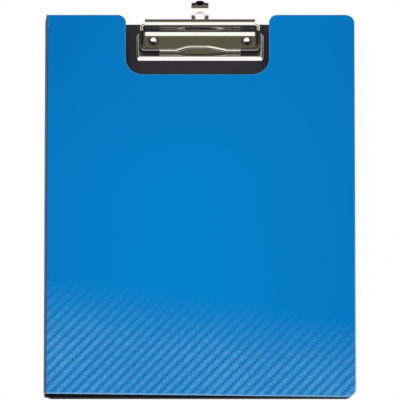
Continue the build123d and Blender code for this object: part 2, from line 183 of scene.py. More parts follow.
def set_relief(nodes, shader, height, strength, depth):
    """A bump from a height, with its depth in millimetres."""
    bump = nodes.add("ShaderNodeBump", {"Strength": strength, "Distance": depth * MM, "Height": height})
    nodes.feed(shader.inputs["Normal"], bump)


# Materials

def plastic(name, colour, light, roughness, grain_scale, depth):
    """Moulded or extruded plastic with a fine grain and slightly polished edges."""
    material, nodes, shader = new_material(name)
    place = object_place(nodes)
    fine = grain(nodes, place, grain_scale, 2.0)
    tone = nodes.mix(nodes.times(fine, 0.5), colour, light)
    edge_wear_and_highlight = nodes.times(edge_mask(nodes), 0.6)
    nodes.feed(shader.inputs["Base Color"], nodes.mix(edge_wear_and_highlight, tone, light))
    set_roughness(nodes, shader, grain(nodes, place, 25.0, 4.0), roughness - 0.05, roughness + 0.06)
    set_relief(nodes, shader, fine, 0.35, depth)
    return material


# Between these places along Y the guards turn from dull legs to polished feet
GUARD_DULL_Y = 139.0
GUARD_POLISHED_Y = 135.5


def guard_black():
    """Black moulded plastic, polished on top of its feet by handling and dull elsewhere."""
    material = plastic("guard_black", srgb(18, 15, 25), srgb(40, 36, 50), 0.22, 700.0, 0.05)
    nodes, shader = reopened(material)
    shader.inputs["IOR"].default_value = 1.95
    y = nodes.split(object_place(nodes))[1]
    front = nodes.ramp(y, GUARD_DULL_Y * MM, GUARD_POLISHED_Y * MM, 0.25, 1.0)
    polish = nodes.ramp(facing_up(nodes), 0.35, 0.75, 0.02, 0.85)
    nodes.feed(shader.inputs["Specular IOR Level"], nodes.times(polish, front))
    return material


# Weave of the cover: yarns of equal pitch in the picture, so longer along the cover's height
YARN_X = 2.0 * MM
YARN_Y = 2.265 * MM
TWILL_REPEAT = 4.0
TWILL_OVER = 1.5
RIB_MIDDLE = 1.5
STITCH_SHARE = 0.42

# The weave fades in below a line that falls towards the free edge
FADE_START = -58.0 * MM
FADE_SLOPE = 0.151
FADE_LENGTH = 62.0 * MM

# Painted sheen and shade: the sheet is painted paler in the middle and deeper towards its sides and its
# top, most at the left
SHEEN_REACH = 108.0 * MM
SHEEN_LOW_Y = 10.0 * MM
SHEEN_HIGH_Y = 155.0 * MM
SIDE_DEPTH = 0.38
TOP_DEPTH = 0.38
TOP_DEPTH_SLOPE = -0.14
SHEEN_PALE_BLUE = srgb(0, 125, 198)
SHEEN_SHADE_BLUE = srgb(0, 110, 183)
CLOUD_BLUE = srgb(14, 128, 200)
GROUND_BLUE = srgb(4, 115, 182)
WEAVE_BLUE = srgb(92, 158, 219)
WEAVE_TEAL = srgb(76, 160, 204)
# The cover rim's painted highlight colour
EDGE_HIGHLIGHT_BLUE = srgb(120, 172, 218)


def twill(nodes, place, x, y):
    """A soft two-over-two print: stitches and the diagonal rib that they make, uneven in places."""
    column = nodes.math("DIVIDE", x, YARN_X)
    row = nodes.math("DIVIDE", y, YARN_Y)
    step = nodes.minus(nodes.math("FLOOR", column), nodes.math("FLOOR", row))
    step = nodes.math("FLOORED_MODULO", step, TWILL_REPEAT)
    stitch = nodes.math("LESS_THAN", step, TWILL_OVER)
    phase = nodes.math("FLOORED_MODULO", nodes.minus(column, row), TWILL_REPEAT)
    from_rib = nodes.math("ABSOLUTE", nodes.minus(phase, RIB_MIDDLE))
    from_rib = nodes.math("MINIMUM", from_rib, nodes.minus(TWILL_REPEAT, from_rib))
    rib = nodes.ramp(from_rib, 0.45, 1.6, 1.0, 0.0)
    ink = nodes.math("ADD", nodes.times(stitch, STITCH_SHARE), nodes.times(rib, 1.0 - STITCH_SHARE))
    return nodes.times(ink, nodes.ramp(grain(nodes, place, 420.0, 2.0), 0.3, 0.7, 0.6, 1.15))


def cover_blue():
    """Satin blue sheet; a twill comes in softly towards the lower edge, the rim has a painted pale
    highlight, and the ground has painted sheen and shade.
    """
    material, nodes, shader = new_material("cover_blue")
    place = object_place(nodes)
    x, y = nodes.split(place)[:2]
    fall = nodes.times(nodes.minus(x, COVER_LEFT * MM), FADE_SLOPE)
    fade = nodes.ramp(nodes.minus(nodes.minus(FADE_START, fall), y), 0.0, FADE_LENGTH)
    patch = nodes.ramp(grain(nodes, place, 14.0), 0.3, 0.7, 0.8, 1.1)
    amount = nodes.times(nodes.times(twill(nodes, place, x, y), fade), patch, clamp=True)

    # Painted sheen and shade over the ground colour
    across = nodes.math("DIVIDE", x, SHEEN_REACH)
    to_side = nodes.times(nodes.times(across, across), SIDE_DEPTH)
    top_depth = nodes.math("MULTIPLY_ADD", across, TOP_DEPTH_SLOPE, TOP_DEPTH)
    to_top = nodes.times(nodes.ramp(y, SHEEN_LOW_Y, SHEEN_HIGH_Y), top_depth)
    ground = nodes.mix(nodes.math("ADD", to_side, to_top, clamp=True), SHEEN_PALE_BLUE, SHEEN_SHADE_BLUE)
    ground = nodes.mix(nodes.times(grain(nodes, place, 9.0, 4.0), 0.08), ground, CLOUD_BLUE)
    ground = nodes.mix(nodes.times(fade, 0.85), ground, GROUND_BLUE)
    tinge = nodes.ramp(grain(nodes, place, 260.0, 2.0), 0.38, 0.62)
    woven = nodes.mix(nodes.times(amount, 0.88), ground, nodes.mix(tinge, WEAVE_BLUE, WEAVE_TEAL))

    # Painted highlight along the rim, strongest along the lower edge and broken by a grain
    rim = nodes.add("ShaderNodeAttribute", attribute_name="rim").outputs["Fac"]
    lower = nodes.ramp(nodes.times(y, -1.0), -0.1, 0.155, 0.2, 1.0)
    highlight_grain = nodes.ramp(grain(nodes, place, 420.0, 3.0), 0.25, 0.6, 0.75, 1.0)
    pale = nodes.times(nodes.times(rim, lower), highlight_grain)
    nodes.feed(shader.inputs["Base Color"], nodes.mix(pale, woven, EDGE_HIGHLIGHT_BLUE))
    nodes.feed(shader.inputs["Roughness"], nodes.ramp(amount, 0.0, 1.0, 0.5, 0.4, False))
    shader.inputs["Specular IOR Level"].default_value = 0.03
    relief = nodes.math("ADD", amount, nodes.times(grain(nodes, place, 2600.0, 2.0), 0.12))
    set_relief(nodes, shader, relief, 0.25, 0.08)
    return material


def bright_nickel(name, tint, roughness=0.06, under_shade=0.0):
    """Nickel plating: a mirror with faint drawing marks, duller patches and, where asked, painted shade on
    its underside.
    """
    material, nodes, shader = new_material(name)
    place = object_place(nodes)
    stretched = nodes.add("ShaderNodeMapping", {"Vector": place, "Scale": (60.0, 900.0, 900.0)})
    marks = grain(nodes, stretched, 1.0, 4.0)
    cloud = grain(nodes, place, 120.0, 3.0)
    shade = nodes.mix(nodes.times(cloud, 0.2), tint, srgb(228, 226, 220))
    edge_wear_and_highlight = nodes.times(edge_mask(nodes, 0.55, 0.7), 0.4)
    shade = nodes.mix(edge_wear_and_highlight, shade, srgb(250, 249, 246))
    # Painted shade: faces that turn down are darkened, by the share given
    under = nodes.ramp(facing_up(nodes), 0.15, -0.55, 0.0, under_shade)
    nodes.feed(shader.inputs["Base Color"], nodes.mix(under, shade, srgb(58, 53, 46)))
    shader.inputs["Metallic"].default_value = 1.0
    set_roughness(nodes, shader, cloud, roughness, roughness + 0.06)
    set_relief(nodes, shader, marks, 0.06, 0.04)
    return material


# How the rivets' domes are eased: their normals are scaled, then leant to the lower edge
DOME_SCALE = (0.8, 0.7, 1.0)
DOME_LEAN = (0.0, -0.68, 0.0)


def rivet_nickel():
    """Nickel whose dome is set a little towards the lower edge and flattened by the setting tool."""
    material = bright_nickel("nickel_rivet", srgb(240, 239, 236), 0.08)
    nodes, shader = reopened(material)
    normal = nodes.add("ShaderNodeTexCoord").outputs["Normal"]
    eased = nodes.add("ShaderNodeVectorMath", {0: normal, 1: DOME_SCALE, 2: DOME_LEAN},
                      operation="MULTIPLY_ADD")
    eased = nodes.add("ShaderNodeVectorMath", {0: eased}, operation="NORMALIZE")
    eased = nodes.add("ShaderNodeVectorTransform", {0: eased}, vector_type="NORMAL",
                      convert_from="OBJECT", convert_to="WORLD")
    nodes.feed(nodes.tree.nodes["Bump"].inputs["Normal"], eased)
    return material


# A painted dark reflection: the dark oval on the hanger's tab
TAB_MARK_Y = 174.0
TAB_MARK_HALF_X = 3.35
TAB_MARK_HALF_Y = 1.75


def hanger_nickel():
    """Nickel with painted shade on its cut walls and on the far rim of the hole, and a painted dark
    reflection on the tab.
    """
    material = bright_nickel("nickel_hanger", srgb(238, 237, 233), 0.09)
    nodes, shader = reopened(material)
    x, y = nodes.split(object_place(nodes))[:2]
    plain = shader.inputs["Base Color"].links[0].from_socket
    # Painted shade: the sheet's cut walls are darkened
    plain = nodes.mix(nodes.times(cut_edges(nodes), 0.95), plain, srgb(62, 62, 56))
    # Painted shade: a dark arc on the far rim of the hole
    above = nodes.minus(y, HANGER_HOLE_Y * MM)
    reach = nodes.math("SQRT", nodes.squares(x, above))
    rim = nodes.ramp(reach, (HANGER_HOLE_RADIUS + 0.25) * MM, (HANGER_HOLE_RADIUS + 0.65) * MM, 0.85, 0.0)
    rim = nodes.times(rim, nodes.ramp(above, 1.4 * MM, 2.8 * MM))
    plain = nodes.mix(rim, plain, srgb(84, 84, 76))
    # Painted dark reflection: a dark, hardly metallic oval on the tab
    across = nodes.math("DIVIDE", x, TAB_MARK_HALF_X * MM)
    along = nodes.math("DIVIDE", nodes.minus(y, TAB_MARK_Y * MM), TAB_MARK_HALF_Y * MM)
    patch = nodes.ramp(nodes.squares(across, along), 0.75, 1.15, 1.0, 0.0)
    nodes.feed(shader.inputs["Base Color"], nodes.mix(patch, plain, srgb(16, 13, 17)))
    nodes.feed(shader.inputs["Metallic"], nodes.math("MULTIPLY_ADD", patch, -0.9, 1.0))
    return material


def clear_film():
    """Milky embossed film of the inner pocket."""
    material, nodes, shader = new_material("pocket_film")
    place = object_place(nodes)
    cloud = grain(nodes, place, 30.0, 3.0)
    nodes.feed(shader.inputs["Base Color"], nodes.mix(cloud, srgb(205, 210, 216), srgb(228, 231, 235)))
    set_roughness(nodes, shader, cloud, 0.22, 0.34)
    shader.inputs["Alpha"].default_value = 0.35
    set_relief(nodes, shader, grain(nodes, place, 1500.0, 2.0), 0.3, 0.04)
    return material


# Mesh building, in millimetres

def smooth_object(name, mesh, material, sharp):
    """A smooth object in the scene, with sharp edges from an angle in degrees."""
    mesh.shade_smooth()
    mesh.set_sharp_from_angle(angle=math.radians(sharp))
    mesh.materials.append(material)
    piece = bpy.data.objects.new(name, mesh)
    bpy.context.scene.collection.objects.link(piece)
    return piece


def weigh_normals(piece):
    piece.modifiers.new("normals", "WEIGHTED_NORMAL").keep_sharp = True


def add_piece(name, vertices, faces, material, body, nodes, slot, sheet=0.0, bevel=0.0, sharp=38.0,
              even=True):
    """A smooth piece on a body, in place of CAD nodes; a sheet is thickened inwards."""
    mesh = bpy.data.meshes.new(name)
    mesh.from_pydata([Vector(point) * MM for point in vertices], [], faces)
    mesh.validate()
    piece = smooth_object(name, mesh, material, sharp)
    if sheet:
        thicken = piece.modifiers.new("sheet", "SOLIDIFY")
        thicken.thickness = sheet * MM
        thicken.offset = -1.0
        thicken.use_even_offset = even
    if bevel:
        rounding = piece.modifiers.new("edges", "BEVEL")
        rounding.width = bevel * MM
        rounding.segments = 2
        rounding.limit_method = "ANGLE"
        rounding.angle_limit = math.radians(50.0)
    if sheet or bevel:
        weigh_normals(piece)
    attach(piece, body)
    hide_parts(*nodes)


def bridge(first, second, count, closed=True):
    """Quads between two rows of vertex numbers that start at first and second."""
    faces = []
    for i in range(count if closed else count - 1):
        j = (i + 1) % count
        faces.append((first + i, first + j, second + j, second + i))
    return faces


def sides_of(loop):
    """Each corner of a closed loop with the next one."""
    return zip(loop, loop[1:] + loop[:1])


def fill_loops(vertices, loops):
    """Triangles of the flat area inside the first loop and outside the others."""
    flat = bmesh.new()
    numbers = {}
    edges = []
    for loop in loops:
        corners = [flat.verts.new(vertices[i]) for i in loop]
        for corner, i in zip(corners, loop):
            numbers[corner] = i
        edges += [flat.edges.new(side) for side in sides_of(corners)]
    made = bmesh.ops.triangle_fill(flat, use_beauty=True, edges=edges, normal=(0, 0, 1))
    faces = []
    for face in [g for g in made["geom"] if isinstance(g, bmesh.types.BMFace)]:
        if face.normal.z < 0:
            face.normal_flip()
        faces.append(tuple(numbers[corner] for corner in face.verts))
    flat.free()
    return faces


def rounded_route(points, radii, step=8.0):
    """A line of points whose inner corners are rounded to the given radii, in steps of degrees."""
    points = [Vector(point) for point in points]
    route = [points[0]]
    for before, corner, after, radius in zip(points, points[1:], points[2:], radii):
        back = (before - corner).normalized()
        on = (after - corner).normalized()
        half_turn = (math.pi - back.angle(on)) / 2
        reach = radius * math.tan(half_turn)
        centre = corner + (back + on).normalized() * radius / math.cos(half_turn)
        first = corner + back * reach - centre
        axis = first.cross(corner + on * reach - centre).normalized()
        count = max(2, round(math.degrees(2 * half_turn) / step))
        for i in range(count + 1):
            turn = Matrix.Rotation(2 * half_turn * i / count, 3, axis)
            route.append(centre + turn @ first)
    route.append(points[-1])
    return route


def swept(route, section, up=(0, 0, 1), scales=None):
    """A closed section drawn along a route; scales draws the section in at each point."""
    vertices = []
    faces = []
    count = len(section)
    scales = scales or [1.0] * len(route)
    for k, point in enumerate(route):
        before = route[max(k - 1, 0)]
        after = route[min(k + 1, len(route) - 1)]
        along = (after - before).normalized()
        side = along.cross(Vector(up)).normalized()
        over = side.cross(along).normalized()
        for a, b in section:
            vertices.append(point + scales[k] * (a * side + b * over))
        if k:
            faces += bridge((k - 1) * count, k * count, count)
    faces.append(tuple(range(count))[::-1])
    faces.append(tuple(range((len(route) - 1) * count, len(route) * count)))
    return vertices, faces


def circle(radius, count=24):
    angles = [2 * math.pi * i / count for i in range(count)]
    return [(radius * math.cos(angle), radius * math.sin(angle)) for angle in angles]


ROUND_COUNT = 40


def turned(profile, places, ends="capped"):
    """A profile of radius and height turned at several places, with its ends capped, open or joined."""
    vertices = []
    faces = []
    for x, y in places:
        first = len(vertices)
        for k, (radius, z) in enumerate(profile):
            if k:
                faces += bridge(len(vertices) - ROUND_COUNT, len(vertices), ROUND_COUNT)
            vertices += [(x + a, y + b, z) for a, b in circle(radius, ROUND_COUNT)]
        last = len(vertices) - ROUND_COUNT
        if ends == "capped":
            faces.append(tuple(range(last, last + ROUND_COUNT)))
            faces.append(tuple(range(first, first + ROUND_COUNT))[::-1])
        if ends == "joined":
            faces += bridge(last, first, ROUND_COUNT)
    return vertices, faces


def arc(centre_y, centre_z, radius, start, end, steps):
    """Points of Y and Z over a circle's top, from one tilt in degrees to another.

    The tilt counts from the front, and a negative radius runs through a hollow.
    """
    tilts = [math.radians(start + (end - start) * i / steps) for i in range(steps + 1)]
    return [(centre_y - radius * math.cos(tilt), centre_z + radius * math.sin(tilt)) for tilt in tilts]


# Clip plate: a pan with a wide front lip and side flanges, and dimples round its rivets

BOARD_TOP_Z = 2.5
PLATE_TOP_Z = 4.7
PLATE_HALF = 48.1
PLATE_FRONT_Y = 126.3
PLATE_BACK_Y = 149.7
PAN_FACE_INSET = 0.35
SHEET = 0.9
PLAN_STEPS = 8
FRONT_PLAN_RADIUS = 2.0
REAR_PLAN_RADIUS = 2.5
LEAST_PLAN_RADIUS = 0.25
REAR_OPENING_HALF = 11.0
RIVET_X = 35.2
RIVET_Y = 142.9
RIVET_PLACES = ((-RIVET_X, RIVET_Y), (RIVET_X, RIVET_Y))
DIMPLE_MOUTH = 4.15
DIMPLE_FLOOR_RADIUS = 3.75
DIMPLE_FLOOR_Z = 3.4
DIMPLE_BORE = 1.7
DIMPLE_SHEET = 0.8

# The lip curls up to this turn and then eases over into the flat face, in rows at these angles
LIP_TURN_DEGREES = 50
LIP_TURN = math.radians(LIP_TURN_DEGREES)
LIP_ANGLES = (0, 12, 25, 38, 50, 54, 58, 62, 66, 70, 74, 78, 81, 84, 87, 90)
FRONT_LIP_RADIUS = 5.7
SIDE_LIP_RADIUS = 3.2


def lip_curl(radius):
    """The radius of the lip's lower curl, for its upper arc's radius."""
    return (PLATE_TOP_Z - BOARD_TOP_Z - radius * (1 - math.sin(LIP_TURN))) / math.sin(LIP_TURN)


def lip_inset(z, radius):
    """How far in from its foot the lip is at a height, for its upper arc's radius."""
    curl = lip_curl(radius)
    if z <= BOARD_TOP_Z + curl * math.sin(LIP_TURN):
        return curl - curl * math.cos(math.asin((z - BOARD_TOP_Z) / curl))
    flat = curl * (1 - math.cos(LIP_TURN)) + radius * math.cos(LIP_TURN)
    return flat - radius * math.cos(math.asin(min(1.0, (z - PLATE_TOP_Z + radius) / radius)))


def lip_height(angle):
    """The front lip's height where it has turned by an angle in degrees."""
    sine = math.sin(math.radians(angle))
    if angle <= LIP_TURN_DEGREES:
        return BOARD_TOP_Z + lip_curl(FRONT_LIP_RADIUS) * sine
    return PLATE_TOP_Z - FRONT_LIP_RADIUS * (1 - sine)


def pan_ring(z, extra=0.0):
    """The pan's outline at a height, drawn in by a little more where asked."""
    side = lip_inset(z, SIDE_LIP_RADIUS) + extra
    front = lip_inset(z, FRONT_LIP_RADIUS) + extra
    half = PLATE_HALF - side
    ring = []
    rear = (PLATE_BACK_Y - extra, REAR_PLAN_RADIUS, REAR_PLAN_RADIUS)
    fore = (PLATE_FRONT_Y + front, FRONT_PLAN_RADIUS, FRONT_PLAN_RADIUS - front + side)
    corners = ((1, 1, *rear), (-1, 1, *rear), (-1, -1, *fore), (1, -1, *fore))
    for quarter, (sx, sy, edge, plan_x, plan_y) in enumerate(corners):
        round_x = max(plan_x - side, LEAST_PLAN_RADIUS)
        round_y = max(plan_y - side, LEAST_PLAN_RADIUS)
        for i in range(PLAN_STEPS + 1):
            angle = math.pi / 2 * (quarter + i / PLAN_STEPS)
            ring.append((sx * (half - round_x) + round_x * math.cos(angle),
                         edge - sy * round_y + round_y * math.sin(angle), z))
        if quarter == 0:
            ring += [(REAR_OPENING_HALF, edge, z), (-REAR_OPENING_HALF, edge, z)]
    return ring


def clip_piece(name, vertices, faces, material, **shape):
    add_piece(name, vertices, faces, material, "board", ["clip_base_plate"], "clip_plate", **shape)


def clip_pan():
    """The flat face with its lip and flanges, and an opening in the rear wall for the hanger."""
    vertices = []
    faces = []
    count = len(pan_ring(PLATE_TOP_Z))
    opening = PLAN_STEPS + 1
    for k, angle in enumerate(LIP_ANGLES):
        vertices += pan_ring(lip_height(angle))
        if k:
            wall = bridge((k - 1) * count, k * count, count)
            faces += wall[:opening] + wall[opening + 1:]
    inner = len(vertices)
    vertices += pan_ring(PLATE_TOP_Z, PAN_FACE_INSET)
    faces += bridge(inner - count, inner, count)
    loops = [list(range(inner, inner + count))]
    for x, y in RIVET_PLACES:
        first = len(vertices)
        loops.append(list(range(first, first + ROUND_COUNT)))
        vertices += [(x + a, y + b, PLATE_TOP_Z) for a, b in circle(DIMPLE_MOUTH, ROUND_COUNT)]
    faces += fill_loops(vertices, loops)
    clip_piece("clip_pan", vertices, faces, NICKEL, sheet=SHEET, bevel=0.12)


def clip_dimples():
    """Cups pressed into the plate round the rivets, with soft rims, in nickel darkened for painted shade.
    """
    profile = [(DIMPLE_MOUTH, PLATE_TOP_Z), (DIMPLE_MOUTH - 0.05, PLATE_TOP_Z - 0.02),
               (DIMPLE_MOUTH - 0.1, PLATE_TOP_Z - 0.1), (DIMPLE_FLOOR_RADIUS + 0.14, DIMPLE_FLOOR_Z + 0.25),
               (DIMPLE_FLOOR_RADIUS, DIMPLE_FLOOR_Z + 0.06), (DIMPLE_FLOOR_RADIUS - 0.2, DIMPLE_FLOOR_Z),
               (DIMPLE_BORE, DIMPLE_FLOOR_Z)]
    vertices, faces = turned(profile, RIVET_PLACES, "open")
    clip_piece("clip_dimples", vertices, faces, DIMPLE_SHADE_NICKEL, sheet=DIMPLE_SHEET)


# Ridge: a fillet, a round crest and a rear wall that slants out to the board, with angles in degrees

RIDGE_HALF = 41.6
RIDGE_END = 0.4
FILLET_START_Y = 146.75
FILLET_RADIUS = 5.3
FILLET_LIFT = 0.01
FILLET_STEPS = 18
STEEPEST = 22.6
CREST_Y = 156.14
CREST_Z = 7.34
CREST_RADIUS = 4.16
CREST_END = 122.0
CREST_STEPS = 24
REAR_EDGE_RADIUS = 0.5
REAR_LEAN = 172.0
SLOT_HALF = 6.8
SLOT_TOP_Z = 4.4
BAIL_Y = 155.5
BAIL_Z = 7.0
WIRE_RADIUS = 1.25
CHEEK_FRONT_Y = 150.9
CHEEK_SHOULDER_Z = 6.4
CHEEK_REAR = ((158.0, 9.0), (158.7, BOARD_TOP_Z))
CHEEK_RECESS = 0.2
CHEEK_THICKNESS = 1.2


def ridge_profile():
    """The ridge's outer line in Y and Z, from the flat face over the crest to the board."""
    foot_z = PLATE_TOP_Z + FILLET_LIFT
    line = [(FILLET_START_Y - 0.5, foot_z)]
    line += arc(FILLET_START_Y, foot_z + FILLET_RADIUS, -FILLET_RADIUS, 90.0, STEEPEST, FILLET_STEPS)
    line += arc(CREST_Y, CREST_Z, CREST_RADIUS, STEEPEST, CREST_END, CREST_STEPS)
    end = math.radians(CREST_END)
    edge_y = line[-1][0] + REAR_EDGE_RADIUS * math.cos(end)
    edge_z = line[-1][1] - REAR_EDGE_RADIUS * math.sin(end)
    line += arc(edge_y, edge_z, REAR_EDGE_RADIUS, CREST_END, REAR_LEAN, 5)[1:]
    top_y, top_z = line[-1]
    lean = math.tan(math.radians(180.0 - REAR_LEAN))
    return line + [(top_y + (top_z - z) * lean, z) for z in (SLOT_TOP_Z, BOARD_TOP_Z)]


def clip_ridge():
    """The rolled ridge, with the hanger's slot low in its rear wall."""
    line = ridge_profile()
    stations = [-RIDGE_HALF, -RIDGE_HALF + RIDGE_END, -SLOT_HALF, SLOT_HALF, RIDGE_HALF - RIDGE_END,
                RIDGE_HALF]
    vertices = [(x, y, z) for x in stations for y, z in line]
    count = len(line)
    faces = []
    for k in range(1, len(stations)):
        for i in range(count - 1):
            if stations[k] == SLOT_HALF and i == count - 2:
                continue
            a = (k - 1) * count + i
            faces.append((a, a + count, a + count + 1, a + 1))
    clip_piece("clip_ridge", vertices, faces, NICKEL, sheet=SHEET, bevel=0.15)


def ridge_cheeks():
    """The folded ends inside the ridge, with the holes that carry the wire."""
    outline = [(CHEEK_FRONT_Y, BOARD_TOP_Z), (CHEEK_FRONT_Y, CHEEK_SHOULDER_Z)]
    outline += arc(CREST_Y, CREST_Z, CREST_RADIUS - SHEET, STEEPEST, CREST_END, 12)
    outline += CHEEK_REAR
    bore = [(BAIL_Y + a, BAIL_Z + b) for a, b in circle(WIRE_RADIUS + 0.05)]
    flat = [(y, z, 0.0) for y, z in outline + bore]
    loops = [list(range(len(outline))), list(range(len(outline), len(flat)))]
    cap = fill_loops(flat, loops)
    vertices = []
    faces = []
    for side in (-1, 1):
        first = len(vertices)
        shift = first + len(flat)
        near = side * (RIDGE_HALF - CHEEK_RECESS)
        far = side * (RIDGE_HALF - CHEEK_RECESS - CHEEK_THICKNESS)
        vertices += [(near, y, z) for y, z, _ in flat] + [(far, y, z) for y, z, _ in flat]
        block = [tuple(first + i for i in face) for face in cap]
        block += [tuple(shift + i for i in face[::-1]) for face in cap]
        for loop in (loops[0], loops[1][::-1]):
            block += [(first + i, shift + i, shift + j, first + j) for i, j in sides_of(loop)]
        faces += block if side > 0 else [face[::-1] for face in block]
    clip_piece("ridge_cheeks", vertices, faces, NICKEL)


# Rivets, whose domes stand on a short upright rim, and their washers

RIVET_RADIUS = 3.4
RIVET_RISE = 1.9
RIVET_RIM = 0.1
RIVET_SHANK = 1.6
RIVET_END = ((2.4, 0.2), (2.7, 0.35), (2.7, 0.7))
WASHER_LOW_Z = 0.7
WASHER_HIGH_Z = 1.2
WASHER_RADIUS = 4.2
WASHER_BORE = 1.65


def rivet_pair():
    cap = (RIVET_RADIUS ** 2 + RIVET_RISE ** 2) / (2 * RIVET_RISE)
    widest = math.asin(RIVET_RADIUS / cap)
    top = DIMPLE_FLOOR_Z + RIVET_RISE
    profile = list(RIVET_END)
    profile += [(RIVET_SHANK, WASHER_LOW_Z), (RIVET_SHANK, DIMPLE_FLOOR_Z), (3.25, DIMPLE_FLOOR_Z)]
    for i in range(15):
        lean = widest * (1 - i / 14)
        rim = RIVET_RIM if i else 0.0
        profile.append((max(cap * math.sin(lean), 0.05), top - cap * (1 - math.cos(lean)) + rim))
    vertices, faces = turned(profile, RIVET_PLACES)
    add_piece("rivet_heads", vertices, faces, RIVET_NICKEL, "board", ["rivets"], "rivet_metal")


def washer_pair():
    """Flat rings with eased outer edges."""
    profile = [(WASHER_BORE, WASHER_LOW_Z), (WASHER_RADIUS - 0.1, WASHER_LOW_Z),
               (WASHER_RADIUS, WASHER_LOW_Z + 0.08), (WASHER_RADIUS, WASHER_HIGH_Z - 0.08),
               (WASHER_RADIUS - 0.1, WASHER_HIGH_Z), (WASHER_BORE, WASHER_HIGH_Z)]
    vertices, faces = turned(profile, RIVET_PLACES, "joined")
    add_piece("washer_rings", vertices, faces, WASHER_ZINC, "board", ["rivet_washers"], "washer_metal")


# Wire bail and its guards

BAIL_HALF = 43.9
BAIL_ARM_END = 3.0
BAIL_FRONT_Y = 133.6
BAIL_RAISED_Y = 134.3
BAIL_HIGH_Z = 11.4
BAIL_RAISE = ((-17.5, -8.5), (5.5, 19.5))
BAIL_RADII = (2.2, 3.0, 6.0, 9.0, 16.0, 16.0, 3.0, 2.2)
GUARD_WIDTH = 4.0
GUARD_HEIGHT = 4.5
GUARD_TOP_RADII = (1.0, 2.2)
GUARD_FOOT_RADIUS = 0.5
GUARD_LEG_GAP = 5.6
GUARD_FOOT_LENGTH = 15.4
GUARD_BEND = 2.2

# The guards' soft ends: distance from the end, and how far the section is drawn in
GUARD_ENDS = ((0.0, 0.80), (0.18, 0.90), (0.45, 0.97), (0.9, 1.0))


def wire_bail():
    """One wire: two inturned arms in the ridge, two legs, and a front run with a raised middle."""
    (up_start, up_end), (down_start, down_end) = BAIL_RAISE
    corners = [(-BAIL_ARM_END, BAIL_Y, BAIL_Z), (-BAIL_HALF, BAIL_Y, BAIL_Z),
               (-BAIL_HALF, BAIL_FRONT_Y, BAIL_Z), (up_start, BAIL_FRONT_Y, BAIL_Z),
               (up_end, BAIL_RAISED_Y, BAIL_HIGH_Z), (down_start, BAIL_RAISED_Y, BAIL_HIGH_Z),
               (down_end, BAIL_FRONT_Y, BAIL_Z), (BAIL_HALF, BAIL_FRONT_Y, BAIL_Z),
               (BAIL_HALF, BAIL_Y, BAIL_Z), (BAIL_ARM_END, BAIL_Y, BAIL_Z)]
    route = rounded_route(corners, BAIL_RADII, 4.0)
    vertices, faces = swept(route, circle(WIRE_RADIUS), up=(0.0, 0.02, 1.0))
    add_piece("bail_wire", vertices, faces, WIRE_NICKEL, "bail", ["wire_bail"], "bail_wire")


def guard_section(side):
    """The guard's outline across its route, with the outer top edge rounded most."""
    outline = []
    radii = (*GUARD_TOP_RADII, GUARD_FOOT_RADIUS, GUARD_FOOT_RADIUS)
    for quarter, (sx, sy, radius) in enumerate(zip((1, -1, -1, 1), (1, 1, -1, -1), radii)):
        for i in range(8):
            angle = math.pi / 2 * (quarter + i / 7)
            outline.append((sx * (GUARD_WIDTH / 2 - radius) + radius * math.cos(angle),
                            sy * (GUARD_HEIGHT / 2 - radius) + radius * math.sin(angle)))
    if side < 0:
        outline = [(-a, b) for a, b in outline][::-1]
    return outline


def corner_guard(side, name):
    """Moulded L over a corner of the wire, with soft ends."""
    foot_x = side * (BAIL_HALF + GUARD_WIDTH / 2 - GUARD_FOOT_LENGTH)
    corner = [(side * BAIL_HALF, BAIL_Y - GUARD_LEG_GAP, BAIL_Z), (side * BAIL_HALF, BAIL_FRONT_Y, BAIL_Z),
              (foot_x, BAIL_FRONT_Y, BAIL_Z)]
    route = rounded_route(corner, [GUARD_BEND], 7.5)
    start = [(route[0] + (route[1] - route[0]).normalized() * d, s) for d, s in GUARD_ENDS]
    end = [(route[-1] + (route[-2] - route[-1]).normalized() * d, s) for d, s in GUARD_ENDS[::-1]]
    points = start + [(point, 1.0) for point in route[1:-1]] + end
    vertices, faces = swept([p for p, s in points], guard_section(side), scales=[s for p, s in points])
    add_piece(name + "_shell", vertices, faces, GUARD_BLACK, "bail", [name], "guard_plastic", sharp=60.0)


# Hanger: a strip with a round hole, which slopes up to a turned-up tab

HANGER_START_Y = 151.0
HANGER_Z = 3.0
HANGER_SHEET = 0.8
HANGER_HALF = 6.5
HANGER_STOP_HALF = 10.0
HANGER_STOP_LENGTH = 4.0
HANGER_HOLE_Y = 164.4
HANGER_HOLE_RADIUS = 3.5
HANGER_BENDS = (1.6, 4.2)
SLOPE_START_Y = HANGER_HOLE_Y + 1.2
SLOPE = math.radians(11.0)
TAB_START_Y = BAIL_Y + 15.5
TAB_TURN = math.radians(50.0)
TAB_LENGTH = 6.5
TAB_HALF = 3.7
TAB_RADIUS = 2.6
SHOULDER = 5.1
SHOULDER_RADIUS = 1.2
HOLE_FIELD_HALF = 4.4
HANGER_COLUMNS = 12

# Rings round the hole, from its rolled edge to the field: share of the way, extra radius, sink
HOLE_RINGS = ((0.0, 0.0, 0.34), (0.0, 0.05, 0.18), (0.0, 0.16, 0.05), (0.0, 0.36, 0.0),
              (0.5, 0.0, 0.0), (1.0, 0.0, 0.0))


def hanger_path():
    """The strip's middle line, from inside the ridge up the slope to the tab's tip."""
    tab_z = HANGER_Z + (TAB_START_Y - SLOPE_START_Y) * math.tan(SLOPE)
    tip = (0, TAB_START_Y + TAB_LENGTH * math.cos(TAB_TURN), tab_z + TAB_LENGTH * math.sin(TAB_TURN))
    corners = [(0, HANGER_START_Y, HANGER_Z), (0, SLOPE_START_Y, HANGER_Z), (0, TAB_START_Y, tab_z), tip]
    return rounded_route(corners, HANGER_BENDS, 4.0)


def along_path(path, distance):
    """The point on a path at a distance along it, and the path's direction there."""
    for a, b in zip(path, path[1:]):
        length = (b - a).length
        if distance <= length or b is path[-1]:
            way = (b - a) / length
            return a + way * distance, way
        distance -= length


